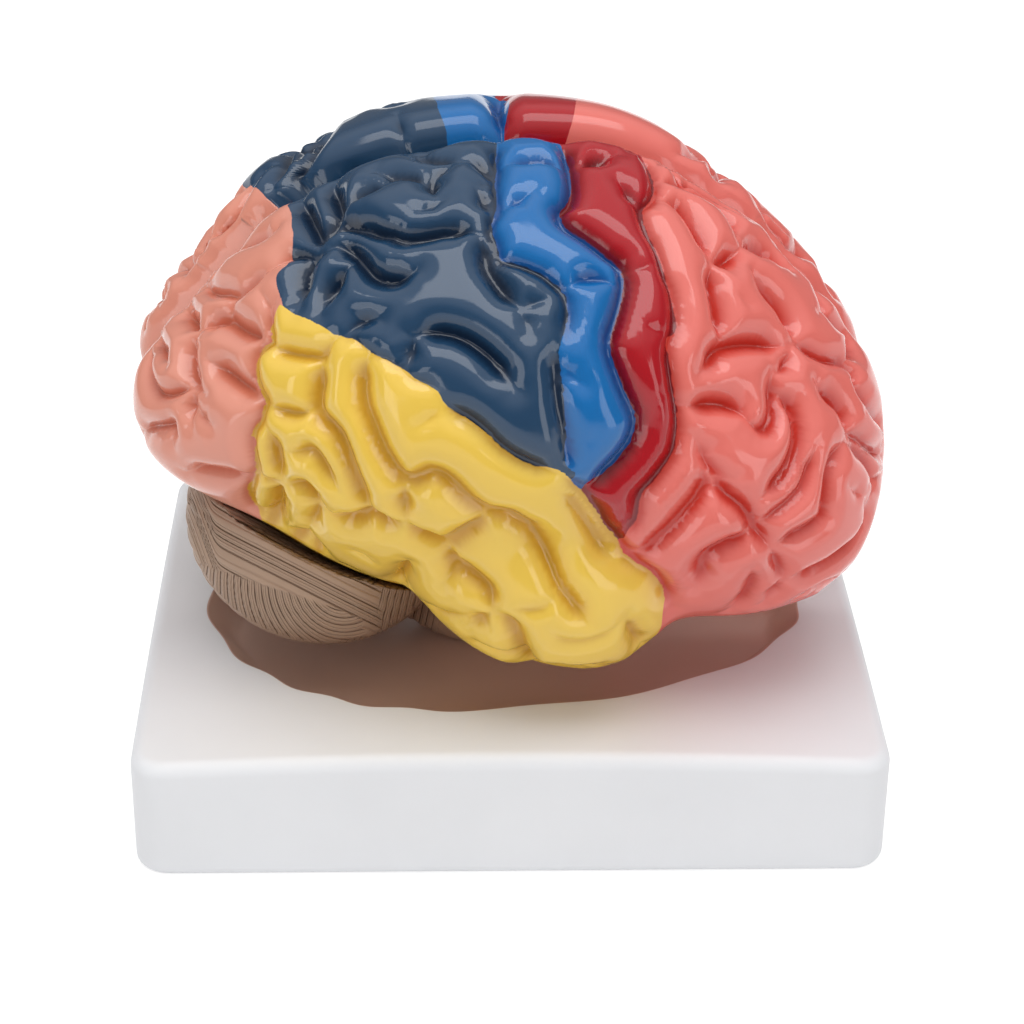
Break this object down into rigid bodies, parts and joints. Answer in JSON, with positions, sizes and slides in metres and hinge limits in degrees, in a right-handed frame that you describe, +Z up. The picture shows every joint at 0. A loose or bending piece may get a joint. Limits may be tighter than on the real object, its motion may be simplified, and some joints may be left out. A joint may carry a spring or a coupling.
{
  "type": "brain anatomy model",
  "caption": "Life-size teaching brain in two removable halves with painted lobes, a ribbed cerebellum and a white block stand with a wavy hollow.",
  "frame": {"origin": "centre of the stand's flat underside", "axes": "+X towards the frontal pole, +Y towards the left half, +Z up"},
  "size_m": [0.1734, 0.144, 0.1536],
  "materials": {
    "stand_white": "smooth moulded, satin",
    "cortex_coral": "glossy paint on moulded plastic",
    "cerebellum_brown": "matt paint on moulded plastic",
    "pin_steel": "turned"
  },
  "bodies": {
    "root": {"base": "stand_white", "right_hemisphere": "cortex_coral", "left_hemisphere": "cortex_coral", "right_cerebellum": "cerebellum_brown", "left_cerebellum": "cerebellum_brown", "front_pin": "pin_steel", "rear_pin": "pin_steel"}
  },
  "joints": []
}
